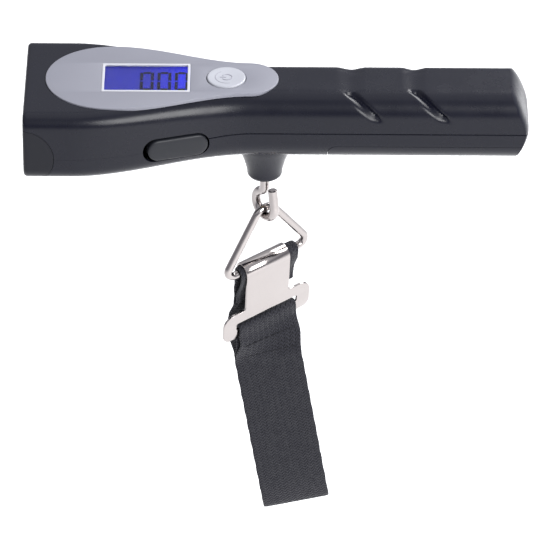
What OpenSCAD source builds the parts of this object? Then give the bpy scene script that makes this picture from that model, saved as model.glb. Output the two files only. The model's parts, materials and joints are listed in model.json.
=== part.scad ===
// Hand-held digital luggage scale with a torch, a swivel hook and a webbing strap.
// The origin is the centre of the hand grip.  +X runs along the grip, away from the head;
// +Z is the side with the display; the load hangs from the neck on the -Z side.

/* [Body] */
// Distance from the grip centre to the flat end of the head
head_reach = 136; // [130:1:142]
// Distance from the grip centre to the rounded end of the grip
grip_reach = 46.6; // [45:0.2:50]
// Width of the head
head_w = 56; // [54:1:60]
// Width of the grip
grip_w = 29; // [28.6:0.2:31]
// Height of the whole body
body_h = 26.6; // [26:0.2:28]
// Wall thickness of the case
wall = 2; // [1.6:0.1:2.2]
// Height of the parting line on the grip
part_z = -1; // [-1.5:0.1:-0.5]
// Height of the parting line on the head
part_head_z = -4.2; // [-4.6:0.1:-3.8]

/* [Display] */
// Width of the window in the face plate
window_l = 30; // [28:0.5:31]
// Height of the window in the face plate
window_w = 17.4; // [16:0.2:18]
// Diameter of the power button
power_d = 14; // [12:0.5:15]
// Travel of the power button
power_travel = 0.8; // [0.4:0.1:1]

/* [Torch] */
// Length of the torch switch button
torch_button_l = 22.5; // [20:0.5:24]
// Height of the torch switch button
torch_button_h = 8.4; // [7.6:0.2:9]
// Travel of the torch switch button
torch_travel = 0.9; // [0.5:0.1:1]
// Diameter of the torch lens
lens_d = 13; // [11:0.5:13.5]

/* [Neck and hook] */
// Distance from the grip centre to the neck, along the body
neck_back = 49.3; // [48:0.1:50]
// Depth of the neck below the body
neck_drop = 14; // [12:0.5:15]
// Diameter of the neck at its lower end
neck_d = 12.9; // [12.5:0.1:14]
// Radius of the neck's flare where it meets the case
flare = 10.4; // [9:0.2:11]
// Diameter of the hook's wire
hook_wire = 3.5; // [3.2:0.1:3.6]
// Radius of the hook's eye, to the middle of the wire
eye_r = 5.2; // [5:0.1:5.6]

/* [Ring and strap] */
// Diameter of the ring's wire
ring_wire = 3; // [2.8:0.1:3]
// Distance between the ring's two lower corners, between bend centres
ring_base = 28; // [26:0.2:29]
// Height of the ring, to the middle of the wire
ring_h = 27; // [25:0.5:28]
// Width of the webbing
web_w = 25.4; // [24:0.2:25.6]
// Thickness of the webbing
web_t = 1.1; // [1:0.05:1.1]
// Thickness of the buckle's steel sheet
sheet = 0.9; // [0.8:0.1:1]
// Width of the buckle at its rolled edge
buckle_w = 19.2; // [16:0.2:20]
// Width of the buckle across its ears
ears_w = 38.6; // [37:0.2:42]

/* [Hidden] */
$fn = 48;
eps = 0.01;
gap = 0.15;              // play between neighbouring case pieces

// Body outline
half_h = body_h / 2;
head_b = head_w / 2;
grip_b = grip_w / 2;
taper_start = -119;      // where the head begins to narrow
taper_end = -54;         // where the grip's full length begins
head_corner = 5;         // edge radius of the head
grip_corner = 8;         // edge radius of the grip
arc_steps = 4;           // flats in each rounded edge

function clamp01(t) = min(1, max(0, t));
function smooth(t) = let (c = clamp01(t)) c * c * (3 - 2 * c);
function narrowing(x) = smooth((x - taper_start) / (taper_end - taper_start));
function half_w(x) = head_b + (grip_b - head_b) * narrowing(x);
function corner(x) = head_corner + (grip_corner - head_corner) * narrowing(x);
function wall_angle(x) = atan((half_w(x + 0.5) - half_w(x - 0.5)));

// One cross-section of the body: a rounded rectangle in the YZ plane
widest_z = -2;           // height of the extra point on each side
function quarter(b, h, r, q) = [for (i = [0:arc_steps])
    let (a = 90 * q + 90 * i / arc_steps,
         cy = (q == 0 || q == 3 ? 1 : -1) * (b - r),
         cz = (q < 2 ? 1 : -1) * (h - r))
    [cy + r * cos(a), cz + r * sin(a)]];
function section(b, h, r) = concat([[b, widest_z]], quarter(b, h, r, 0), quarter(b, h, r, 1),
    [[-b, widest_z]], quarter(b, h, r, 2), quarter(b, h, r, 3));

// The grip's end leans: it reaches furthest at the parting line
end_lean_up = 0.42;      // setback per mm above the parting line
end_lean_down = 0.36;    // setback per mm below it
function end_setback(z) = z > part_z ? (z - part_z) * end_lean_up : (part_z - z) * end_lean_down;

function ring_points(x, b, h, r) = [for (p = section(b, h, r)) [x, p[0], p[1]]];
function leaning_points(x, b, h, r) =
    [for (p = section(b, h, r)) [x - end_setback(p[1]), p[0], p[1]]];

// A closed solid through a list of rings of points
module loft(rings) {
    n = len(rings[0]);
    last = len(rings) - 1;
    points = concat([for (r = rings) for (p = r) p],
        [[for (k = [0:2]) [for (p = rings[0]) p[k]] * [for (p = rings[0]) 1] / n],
         [for (k = [0:2]) [for (p = rings[last]) p[k]] * [for (p = rings[last]) 1] / n]]);
    first_mid = n * (last + 1);
    sides = [for (i = [0:last - 1]) for (j = [0:n - 1])
        let (a = i * n + j, b = i * n + (j + 1) % n)
        each [[a, a + n, b], [b, a + n, b + n]]];
    start_cap = [for (j = [0:n - 1]) [first_mid, j, (j + 1) % n]];
    end_cap = [for (j = [0:n - 1]) [first_mid + 1, last * n + (j + 1) % n, last * n + j]];
    polyhedron(points, concat(sides, start_cap, end_cap), convexity = 6);
}

// Stations along the body, from the head to the grip
bevel = 1.6;             // bevel round the head's end face
stations = concat([-head_reach + bevel, taper_start], [for (x = [-112:6.5:-60.5]) x],
    [taper_end, 0]);

module body_outer() {
    loft(concat(
        [ring_points(-head_reach, head_b - bevel, half_h - bevel, head_corner - 1)],
        [for (x = stations) ring_points(x, half_w(x), half_h, corner(x))],
        [leaning_points(grip_reach - 1.6, grip_b, half_h, grip_corner),
         leaning_points(grip_reach - 0.4, grip_b - 2.2, half_h - 2.2, grip_corner - 1.4),
         leaning_points(grip_reach, grip_b - 4, half_h - 5, 3)]));
}

module body_inner() {
    loft(concat(
        [ring_points(-head_reach + wall, head_b - wall, half_h - wall, head_corner - wall)],
        [for (x = stations) if (x > -head_reach + wall)
            ring_points(x, half_w(x) - wall, half_h - wall, corner(x) - wall)],
        [leaning_points(grip_reach - 1.6 - wall, grip_b - wall, half_h - wall,
            grip_corner - wall)]));
}

// The region above the parting line, which steps down towards the head
module above_parting(lift) {
    far = 100;
    rotate([90, 0, 0]) linear_extrude(2 * far, center = true)
        polygon([[-2 * far, part_head_z + lift], [-95, part_head_z + lift],
            [-86, part_head_z + 0.7 + lift], [-64, part_z - 0.7 + lift],
            [-55, part_z + lift], [far, part_z + lift], [far, far], [-2 * far, far]]);
}

// Face plate: a teardrop on the display side
plate_t = 1.4;
plate_proud = 0.4;       // height of the plate above the case
plate_x0 = -128.6;       // blunt end of the teardrop
plate_x1 = -44.4;        // tip end of the teardrop
plate_b = 21.6;          // largest half-width
tip_r = 10.6;            // half-width near the tip

function plate_half(x) = let (
    t = (x - plate_x0) / (plate_x1 - plate_x0),
    blunt = t < 0.3 ? sqrt(max(0, 1 - pow((0.3 - t) / 0.3, 2.2))) : 1,
    neck = plate_b + (tip_r - plate_b) * smooth((t - 0.3) / 0.58),
    tip = x > plate_x1 - tip_r
        ? sqrt(max(0, 1 - pow((x - plate_x1 + tip_r) / tip_r, 2))) : 1)
    neck * blunt * tip;

plate_steps = 44;
function plate_x(i) = let (t = i / plate_steps) plate_x0 + (plate_x1 - plate_x0)
    * (1 - cos(180 * t)) / 2;
plate_outline = concat([for (i = [0:plate_steps]) [plate_x(i), plate_half(plate_x(i))]],
    [for (i = [plate_steps - 1:-1:1]) [plate_x(i), -plate_half(plate_x(i))]]);

window_x = -92.3;        // centre of the display window
power_x = -63.3;         // centre of the power button
top_z = half_h + plate_proud;
plate_z = top_z - plate_t;

// Side button for the torch, square to the tapering wall
torch_button_x = -80.6;
torch_button_z = -3.8;
module at_side_button() {
    translate([torch_button_x, -half_w(torch_button_x), torch_button_z])
        rotate([0, 0, -wall_angle(torch_button_x)]) children();
}
module stadium(l, h, depth, out) {
    translate([0, -out, 0]) rotate([-90, 0, 0]) linear_extrude(depth) union() {
        square([l - h, h], center = true);
        for (s = [-1, 1]) translate([s * (l - h) / 2, 0]) circle(d = h);
    }
}

// Torch barrel at the head's end
torch_z = -4;            // height of the torch axis
barrel_r = 11.6;         // reach of the bezel piece into the head
module torch_barrel(r) {
    translate([-head_reach - 0.6, 0, torch_z]) rotate([90, 0, 0])
        cylinder(r = r, h = head_w + 10, center = true, $fn = 60);
}

// Battery bay
cover_x0 = -26.6;        // start of the battery cover
cover_z = -6.2;          // upper edge of the battery cover
module cover_region(shrink) {
    far = 100;
    translate([cover_x0 + shrink, -far / 2, -half_h - 5])
        cube([far, far, cover_z - shrink + half_h + 5]);
}
battery_d = 10.4;
battery_l = 42.8;        // can, without the nub
battery_x = -12;
battery_z = -3.6;
battery_y = 5.5;

neck_x = -neck_back;
neck_z = -half_h - neck_drop;
bush_r = 4;
stem_r = hook_wire / 2;
running = 0.05;          // radial play of the turning stem

module upper_case() {
    color([0.12, 0.12, 0.14]) difference() {
        intersection() { body_outer(); above_parting(0.1); }
        body_inner();
        translate([0, 0, plate_z - eps]) linear_extrude(5) polygon(plate_outline);
        translate([window_x, 0, half_h]) cube([window_l + 4, window_w + 4, 12], center = true);
        translate([power_x, 0, half_h - 6]) cylinder(d = power_d + 0.8, h = 12);
        at_side_button() stadium(torch_button_l + 1.6, torch_button_h + 1.6, 12, 4);
        torch_barrel(barrel_r + gap);
    }
}

module case_post(x, y, z0, z1, r, hole_r) {
    translate([x, y, z0]) difference() {
        cylinder(r = r, h = z1 - z0);
        translate([0, 0, -eps]) cylinder(r = hole_r, h = z1 - z0 + 1);
    }
}

load_cell_z = -8;        // underside of the load cell
cell_fixed_x = -88;
module lower_case() {
    color([0.12, 0.12, 0.14]) union() {
        difference() {
            union() {
                difference() { body_outer(); above_parting(0); }
                translate([neck_x, 0, 0]) rotate_extrude() polygon(concat(
                    [[0, -half_h + 1.2], [flare + 0.4, -half_h + 1.2]],
                    [for (t = [0:0.1:1]) [neck_d / 2 + (flare - neck_d / 2) * pow(1 - t, 1.4),
                        -half_h - (neck_drop - 1.8) * t]],
                    [[neck_d / 2 - 0.2, neck_z + 0.9], [neck_d / 2 - 0.7, neck_z + 0.3],
                        [neck_d / 2 - 1.5, neck_z], [0, neck_z]]));
            }
            difference() {
                body_inner();
                translate([neck_x, 0, -half_h]) cylinder(r = 7, h = 4);
            }
            translate([neck_x, 0, neck_z - 1]) cylinder(r = bush_r, h = 30);
            at_side_button() stadium(torch_button_l + 1.6, torch_button_h + 1.6, 12, 4);
            torch_barrel(barrel_r + gap);
            cover_region(0);
        }
        for (x = [cell_fixed_x, cell_fixed_x + 9])
            case_post(x, 0, -half_h + wall - 0.3, load_cell_z, 3.2, 1.2);
        for (y = [-1, 1])
            case_post(-108, 20 * y, -half_h + wall - 0.3, part_head_z, 3, 1.1);
    }
}

module battery_cover() {
    color([0.12, 0.12, 0.14]) difference() {
        intersection() { body_outer(); cover_region(gap); }
        body_inner();
    }
}

module faceplate() {
    color([0.63, 0.63, 0.67]) difference() {
        translate([0, 0, plate_z]) linear_extrude(plate_t) polygon(plate_outline);
        translate([window_x, 0, half_h]) cube([window_l + 2, window_w + 2, 12], center = true);
        translate([power_x, 0, half_h - 6]) cylinder(d = power_d + 0.5, h = 12);
    }
}

module display_frame() {
    color("white") translate([window_x, 0, top_z - 0.5]) difference() {
        cube([window_l + 2 - 0.04, window_w + 2 - 0.04, 1.2], center = true);
        cube([window_l, window_w, 4], center = true);
    }
}

module display_window() {
    color([0.3, 0.35, 0.8, 0.4]) translate([window_x, 0, top_z - 0.7])
        cube([window_l - 0.04, window_w - 0.04, 0.8], center = true);
}

lcd_top = top_z - 1.3;
module lcd_glass() {
    color([0.28, 0.3, 0.7]) translate([window_x, 0, lcd_top - 1.1])
        cube([window_l + 3, window_w + 3, 1.6], center = true);
}

// Seven-segment digits on the display glass
digit_w = 5;
digit_h = 12.4;
stroke = 1.1;
digit_pitch = 6.3;
module digit() {
    for (s = [-1, 1]) for (t = [-1, 1])
        translate([s * (digit_w - stroke) / 2, t * digit_h / 4, 0])
            cube([stroke, digit_h / 2 - stroke, 0.2], center = true);
    for (t = [-1, 1]) translate([0, t * (digit_h - stroke) / 2, 0])
        cube([digit_w - 2.2 * stroke, stroke, 0.2], center = true);
}
module lcd_segments() {
    color([0.1, 0.1, 0.3]) for (i = [0:2])
        translate([window_x + 0.3 + i * digit_pitch, -0.6, lcd_top - 0.18]) digit();
}

module backlight_panel() {
    color("white") translate([window_x, 0, lcd_top - 3.2])
        cube([window_l + 3, window_w + 3, 2.2], center = true);
}

module lcd_holder() {
    color([0.85, 0.85, 0.85]) translate([window_x, 0, lcd_top - 3.6]) difference() {
        cube([window_l + 7, window_w + 7, 4.2], center = true);
        translate([0, 0, 0.6]) cube([window_l + 3.1, window_w + 3.1, 6], center = true);
        cube([window_l - 2, window_w - 2, 12], center = true);
    }
}

board_z = 4.2;
board_t = 1.6;
module main_board() {
    color([0.1, 0.4, 0.2]) difference() {
        union() {
            translate([-118, -16, board_z]) cube([38, 32, board_t]);
            translate([-81, -9, board_z]) cube([28, 18, board_t]);
        }
        for (y = [-1, 1]) translate([-115, 14 * y, board_z - 1]) cylinder(r = 1.6, h = 4);
    }
}

module board_components() {
    color([0.15, 0.15, 0.15]) {
        translate([-100, -6, board_z - 1.8]) cube([12, 12, 1.8]);
        translate([-112, 6, board_z - 1.4]) cube([5, 4, 1.4]);
        for (i = [0:4]) translate([-114 + i * 4, -13, board_z - 1]) cube([2.2, 1.3, 1]);
        for (i = [0:2]) translate([-79 + i * 5, 5, board_z - 1]) cube([2.2, 1.3, 1]);
        translate([-84, -12, board_z - 3]) cylinder(d = 5, h = 3);
    }
}

power_top = top_z + 0.5;
switch_gap = power_travel + 0.3;
module power_button() {
    color([0.86, 0.87, 0.9]) translate([power_x, 0, 0]) {
        translate([0, 0, plate_z - 0.6]) cylinder(d = power_d, h = power_top - plate_z + 0.6);
        translate([0, 0, board_z + board_t + 3.4 + switch_gap])
            cylinder(d = 3, h = plate_z - 0.6 - board_z - board_t - 3.4 - switch_gap);
    }
}
module power_switch() {
    color("silver") translate([power_x, 0, board_z + board_t]) {
        translate([-3, -3, 0]) cube([6, 6, 2.6]);
        translate([0, 0, 2.6]) cylinder(d = 3.2, h = 0.8);
    }
}

torch_skirt = 2.4;
module torch_button() {
    color([0.1, 0.1, 0.11]) at_side_button() union() {
        stadium(torch_button_l, torch_button_h, torch_skirt + 1, 0.8);
        translate([0, 2, 0]) rotate([-90, 0, 0]) cylinder(d = 2.6, h = 2.2);
    }
}
module torch_switch() {
    color("silver") at_side_button() {
        translate([-3, 4.2 + torch_travel + 0.9, -3]) cube([6, 3, 6]);
        translate([0, 4.2 + torch_travel + 0.2, 0]) rotate([-90, 0, 0])
            cylinder(d = 2.6, h = 0.7);
    }
}

// The bezel closes the lower corner of the head's end round the torch
module torch_bezel() {
    color([0.08, 0.08, 0.09]) difference() {
        intersection() { body_outer(); torch_barrel(barrel_r); }
        translate([-head_reach - 1, 0, torch_z]) rotate([0, 90, 0])
            cylinder(r = lens_d / 2 + 0.3, h = 20);
        translate([-head_reach + 3.5, -head_b + 2.5, -half_h + 2])
            cube([20, head_w - 5, body_h - 4]);
    }
}
module torch_reflector() {
    color("silver") translate([-head_reach + 1.4, 0, torch_z]) rotate([0, 90, 0]) difference() {
        cylinder(r1 = lens_d / 2 + 0.2, r2 = 4, h = 9);
        translate([0, 0, -eps]) cylinder(r1 = lens_d / 2 - 0.6, r2 = 2.4, h = 8);
        cylinder(r = 2.4, h = 12);
    }
}
module torch_lens() {
    color([0.9, 0.95, 1, 0.5]) translate([-head_reach + 0.2, 0, torch_z]) rotate([0, 90, 0])
        rotate_extrude() polygon([[0, 0], [lens_d * 0.2, 0.06], [lens_d * 0.36, 0.28],
            [lens_d * 0.46, 0.62], [lens_d / 2 + 0.2, 0.9], [lens_d / 2 + 0.2, 1.2], [0, 1.2]]);
}
module torch_led() {
    color([1, 1, 0.85]) translate([-head_reach + 6.5, 0, torch_z]) rotate([0, 90, 0]) {
        sphere(d = 4.4);
        cylinder(d = 4.4, h = 5);
        translate([0, 0, 5]) cylinder(d = 9, h = 1);
    }
}

cell_l = 46;
cell_x0 = cell_fixed_x - 5;
module load_cell() {
    color([0.75, 0.76, 0.78]) difference() {
        translate([cell_x0, -5, load_cell_z]) cube([cell_l, 10, 8]);
        for (x = [-68.5, -63]) translate([x, -6, load_cell_z + 4]) rotate([-90, 0, 0])
            cylinder(r = 3, h = 12);
        translate([-68.5, -6, load_cell_z + 3]) cube([5.5, 12, 2]);
        translate([neck_x, 0, load_cell_z - 1]) cylinder(r = stem_r + 0.5, h = 10);
        for (x = [cell_fixed_x, cell_fixed_x + 9]) translate([x, 0, load_cell_z - 1])
            cylinder(r = 1.6, h = 10);
    }
}
module strain_gauges() {
    color([0.85, 0.6, 0.2]) for (z = [load_cell_z - 0.3, load_cell_z + 8])
        translate([-71, -3, z]) cube([10, 6, 0.3]);
}
module screw(r_head, r, l) {
    translate([0, 0, -l]) cylinder(r = r, h = l);
    difference() {
        cylinder(r = r_head, h = 1.6);
        for (a = [0, 90]) rotate([0, 0, a]) translate([0, 0, 1.4])
            cube([r_head * 1.1, 0.5, 1.6], center = true);
    }
}
module load_cell_screws() {
    color("silver") for (x = [cell_fixed_x, cell_fixed_x + 9])
        translate([x, 0, load_cell_z + 8]) screw(2.6, 1.18, 11);
}

bush_z1 = -half_h + 4;
module neck_bush() {
    color([0.8, 0.65, 0.3]) translate([neck_x, 0, neck_z + 0.8]) difference() {
        cylinder(r = bush_r, h = bush_z1 - neck_z - 0.8);
        translate([0, 0, -1]) cylinder(r = stem_r + running, h = 40);
    }
}

// Hook: a stem, a bend and an eye with a straight free end, in a plane turned about the stem
hook_turn = -50;
eye_x = 0.4;             // sideways place of the eye's centre
bend_r = 3;
eye_z = neck_z - 12.5;
stem_z = eye_z + sqrt(pow(eye_r + bend_r, 2) - pow(eye_x + bend_r, 2));
bend_angle = acos((eye_x + bend_r) / (eye_r + bend_r));
joint = 0.25;            // angle left between the two bends, so that each stays one exact arc
tip_angle = 8;            // where the eye's arc runs out into the straight free end
tip_len = 7;
stem_top = 6.5;
module wire_arc(r, wire, start, sweep) {
    rotate([90, 0, 0]) rotate([0, 0, start]) rotate_extrude(angle = sweep)
        translate([r, 0]) circle(d = wire);
}
module hook() {
    color([0.85, 0.84, 0.82]) translate([neck_x, 0, 0]) rotate([0, 0, hook_turn]) {
        translate([0, 0, stem_z]) cylinder(r = stem_r, h = stem_top - stem_z);
        translate([-bend_r, 0, stem_z]) mirror([0, 0, 1])
            wire_arc(bend_r, hook_wire, 0, bend_angle);
        translate([eye_x, 0, eye_z]) wire_arc(eye_r, hook_wire, 180 - bend_angle + joint,
            180 + bend_angle + tip_angle - joint);
        translate([eye_x + eye_r * cos(tip_angle), 0, eye_z + eye_r * sin(tip_angle)])
            rotate([0, -tip_angle, 0]) translate([0, 0, -0.2])
            cylinder(d = hook_wire - 0.02, h = tip_len + 0.2);
    }
}
module hook_washer() {
    color("silver") translate([neck_x, 0, load_cell_z + 8.2]) difference() {
        cylinder(r = 4.4, h = 0.9);
        translate([0, 0, -1]) cylinder(r = stem_r, h = 4);
    }
}
module hook_nut() {
    color("silver") translate([neck_x, 0, load_cell_z + 9.1]) difference() {
        cylinder(r = 3.9, h = 3, $fn = 6);
        translate([0, 0, -1]) cylinder(r = stem_r, h = 6);
    }
}

// Ring: hangs in the eye by its apex and carries the buckle on its bar
ring_yaw = 34;
ring_roll = -7;
ring_tilt = 8.4;
ring_bend = 4;           // apex bend radius, to the middle of the wire
apex_flat = 1;           // straight stretch at the apex, on the hinge's axis
base_bend = 3;
apex_x = neck_x + eye_x * cos(hook_turn);
apex_y = eye_x * sin(hook_turn);
apex_z = eye_z - eye_r + hook_wire / 2 + ring_wire / 2 + 0.15;
leg_x = ring_base / 2;
core = ring_wire - 0.02;  // straight stretches, a hair thinner, enter the bends by the bite
bite = 0.2;
leg_run = leg_x - apex_flat / 2;
leg_rise = ring_h - ring_bend - base_bend;
leg_gap = ring_bend - base_bend;
leg_span = sqrt(leg_run * leg_run + leg_rise * leg_rise);
leg_len = sqrt(leg_span * leg_span - leg_gap * leg_gap);
leg_slope = atan(leg_run / leg_rise) - asin(leg_gap / leg_span);
module in_ring_frame(tilt) {
    translate([apex_x, apex_y, apex_z]) rotate([tilt, ring_roll, ring_yaw]) children();
}
module triangle_ring() {
    color([0.86, 0.85, 0.83]) in_ring_frame(ring_tilt) {
        rotate([0, 90, 0]) cylinder(d = core, h = apex_flat + 2 * bite, center = true);
        translate([0, 0, -ring_h]) rotate([0, 90, 0])
            cylinder(d = core, h = ring_base + 2 * bite, center = true);
        for (s = [0, 1]) mirror([s, 0, 0]) {
            translate([apex_flat / 2, 0, -ring_bend])
                wire_arc(ring_bend, ring_wire, leg_slope, 90 - leg_slope);
            translate([leg_x, 0, -ring_h + base_bend]) {
                wire_arc(base_bend, ring_wire, -90, 90 + leg_slope);
                translate([base_bend * cos(leg_slope), 0, base_bend * sin(leg_slope)])
                    rotate([0, -leg_slope, 0]) translate([0, 0, -bite])
                        cylinder(d = core, h = leg_len + 2 * bite);
            }
        }
    }
}

// Middle of the ring's bar, from the ring's own turn
function turn_x(v, a) = [v[0], v[1] * cos(a) - v[2] * sin(a), v[1] * sin(a) + v[2] * cos(a)];
function turn_y(v, a) = [v[0] * cos(a) + v[2] * sin(a), v[1], -v[0] * sin(a) + v[2] * cos(a)];
function turn_z(v, a) = [v[0] * cos(a) - v[1] * sin(a), v[0] * sin(a) + v[1] * cos(a), v[2]];
function ring_turn(v, tilt) = turn_z(turn_y(turn_x(v, tilt), ring_roll), ring_yaw);
bar = [apex_x, apex_y, apex_z] + ring_turn([0, 0, -ring_h], ring_tilt);

// Buckle: a rolled edge over the bar, a flat face and two ears round the slot
buckle_tilt = 13.2;
buckle_shift = -1.3;     // where the buckle sits along the bar, from its middle
strap_mid = bar + ring_turn([buckle_shift, 0, 0], buckle_tilt);
roll_r = ring_wire / 2 + web_t + 0.2;
face_n = -roll_r - sheet;
shoulder = 18;
slot_top = 23.5;
slot_h = 3.2;
buckle_end = 31.5;
slot_half = 13.5;
module in_buckle_frame() {
    translate(strap_mid) rotate([buckle_tilt, ring_roll, ring_yaw]) children();
}
// Points of a rounded corner
function arc(x, y, r, a0, a1) = [for (i = [0:6]) let (a = a0 + (a1 - a0) * i / 6)
    [x + r * cos(a), y + r * sin(a)]];
buckle_half = concat([[buckle_w / 2, -0.02], [buckle_w / 2, -shoulder + 1]],
    [[buckle_w / 2 + 1, -shoulder]],
    arc(ears_w / 2 - 5, -shoulder - 5, 5, 90, 0),
    arc(ears_w / 2 - 3.5, -buckle_end + 3.5, 3.5, 0, -90));
module buckle_face() {
    n = len(buckle_half);
    difference() {
        polygon(concat(buckle_half,
            [for (i = [n - 1:-1:0]) [-buckle_half[i][0], buckle_half[i][1]]]));
        translate([-slot_half, -slot_top - slot_h]) square([2 * slot_half, slot_h]);
    }
}
module buckle_plate() {
    color([0.85, 0.83, 0.81]) in_buckle_frame() {
        translate([0, face_n + sheet, 0]) rotate([90, 0, 0])
            linear_extrude(sheet) buckle_face();
        rotate([0, 90, 0]) rotate([0, 0, 90]) rotate_extrude(angle = 180)
            translate([roll_r, -buckle_w / 2]) square([sheet, buckle_w]);
    }
}

// Webbing: a ribbon that wraps the bar, loops down and passes the buckle's slot.
// Each route point is [distance below the bar, distance behind it].
strap_drop = 116;
bend_start = 31.5;
bend_stop = 47;
buckle_down = ring_turn([0, 0, -1], buckle_tilt);
buckle_side = ring_turn([1, 0, 0], buckle_tilt);
loop_down = [0.163, 0, -0.9866];
loop_side = [0.982, 0.099, 0.162];
function unit(v) = v / norm(v);
function blend_at(w) = smooth((w - bend_start) / (bend_stop - bend_start));
function mid_point(w) = strap_mid + buckle_down * min(w, bend_start)
    + loop_down * max(0, w - bend_start);
function side_at(w) = unit(buckle_side * (1 - blend_at(w)) + loop_side * blend_at(w));
function down_at(w) = unit(buckle_down * (1 - blend_at(w)) + loop_down * blend_at(w));
function back_at(w) = unit(cross(side_at(w), down_at(w)));
wrap_r = ring_wire / 2 + 0.12 + web_t / 2;
web_route = concat([[17, 0.45], [13, 0.3], [9, -0.5], [4.5, -1.75]],
    [for (a = [-90:30:90]) [-wrap_r * cos(a), wrap_r * sin(a)]],
    [[5, 2.2], [11, 2], [17, 1.95], [24, 2.6], [32, 4.2], [42, 5], [56, 5.4], [70, 5.4],
     [84, 5.3], [95, 5], [103, 4.2], [110, 3], [114.5, 1.7], [strap_drop, 0], [114.8, -2.2],
     [110, -3.6], [103, -4.6], [95, -5.1], [84, -5.4], [70, -5.5], [56, -5.5], [45, -5.4], [37, -5.2],
     [31, -4.75], [27.2, -4.5], [26, -4.1], [25.65, -3.3], [26, -2.35], [27.4, -2.05],
     [32.5, -1.7], [39, -3.5], [45, -4.05]]);
function route_at(i) = let (p = web_route[i]) mid_point(p[0]) + back_at(p[0]) * p[1];
function route_dir(i) = let (n = len(web_route) - 1)
    unit(route_at(min(i + 1, n)) - route_at(max(i - 1, 0)));
function web_ring(i) = let (
    c = route_at(i),
    s = side_at(web_route[i][0]) * web_w / 2,
    n = unit(cross(side_at(web_route[i][0]), route_dir(i))) * web_t / 2)
    [c - s - n, c + s - n, c + s + n, c - s + n];
module strap_webbing() {
    color([0.14, 0.14, 0.17]) loft([for (i = [0:len(web_route) - 1]) web_ring(i)]);
}

// Box-stitch threads that close the two ends of the webbing
stitch_r = 0.2;
module thread_row(w, n, count) {
    for (i = [0:count - 1]) {
        across = -web_w / 2 + 3 + i * (web_w - 6) / (count - 1);
        translate(mid_point(w) + back_at(w) * n + side_at(w) * across)
            rotate([buckle_tilt, 0, ring_yaw]) cylinder(r = stitch_r, h = 1.6, center = true);
    }
}
module strap_stitching() {
    color([0.1, 0.1, 0.12]) {
        thread_row(15, 2.75, 9);
        thread_row(11, 2.8, 9);
    }
}

module battery(y) {
    color([0.2, 0.3, 0.6]) translate([battery_x, y, battery_z]) rotate([0, 90, 0]) {
        cylinder(d = battery_d, h = battery_l);
        translate([0, 0, y > 0 ? battery_l : -1]) cylinder(d = 3.8, h = 1);
    }
}
module battery_1() { battery(battery_y); }
module battery_2() { battery(-battery_y); }

module battery_springs() {
    color("silver") for (y = [-1, 1]) {
        x = y > 0 ? battery_x - 3.2 : battery_x + battery_l + 0.2;
        translate([x, y * battery_y, battery_z]) rotate([0, 90, 0]) difference() {
            cylinder(r = 3.4, h = 3);
            translate([0, 0, -1]) cylinder(r = 2.6, h = 6);
        }
    }
}
module battery_contacts() {
    color("silver") {
        translate([battery_x - 3.7, -9.6, battery_z - 4]) cube([0.4, 19.2, 8]);
        translate([battery_x + battery_l + 3.4, -9.6, battery_z - 4]) cube([0.4, 19.2, 8]);
    }
}

module case_screws() {
    color("silver") for (y = [-1, 1])
        translate([-108, 20 * y, part_head_z + 0.2]) screw(2.4, 1.08, 5);
}

// Insulated leads, each along its own hand-set route
lead_r = 0.6;
lead_sides = 6;
module lead(route) {
    last = len(route) - 1;
    loft([for (i = [0:last]) let (
        d = unit(route[min(i + 1, last)] - route[max(i - 1, 0)]),
        u = unit(cross([0, 1, 0], d)),
        v = cross(d, u))
        [for (k = [0:lead_sides - 1]) let (a = 360 * k / lead_sides)
            route[i] + lead_r * (u * cos(a) + v * sin(a))]]);
}
module battery_leads() {
    color("red") for (y = [-1, 1]) lead([[battery_x - 4.4, 8 * y, 0], [-24, 8 * y, 4],
        [-40, 7 * y, 7], [-52.8, 6 * y, 6.4]]);
}
module load_cell_leads() {
    color("white") for (i = [0:2]) lead([[-72, -2 + 2 * i, 1], [-77, -2 + 2 * i, 2.6],
        [-82, -2 + 2 * i, 3.4]]);
}
module torch_leads() {
    color("yellow") for (y = [-1, 1]) lead([[-head_reach + 13.2, 2 * y, torch_z],
        [-118, 3 * y, -3], [-112, 4 * y, 0], [-108, 4 * y, 3.4]]);
}

upper_case();
lower_case();
battery_cover();
faceplate();
display_frame();
display_window();
lcd_glass();
lcd_segments();
backlight_panel();
lcd_holder();
main_board();
board_components();
power_switch();
power_button();
torch_button();
torch_switch();
torch_bezel();
torch_reflector();
torch_lens();
torch_led();
load_cell();
strain_gauges();
load_cell_screws();
neck_bush();
hook();
hook_washer();
hook_nut();
triangle_ring();
buckle_plate();
strap_webbing();
strap_stitching();
battery_1();
battery_2();
battery_springs();
battery_contacts();
case_screws();
battery_leads();
load_cell_leads();
torch_leads();
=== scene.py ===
import json
import math

import bmesh
import bpy
import numpy as np
from mathutils import Matrix, Vector, noise


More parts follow.
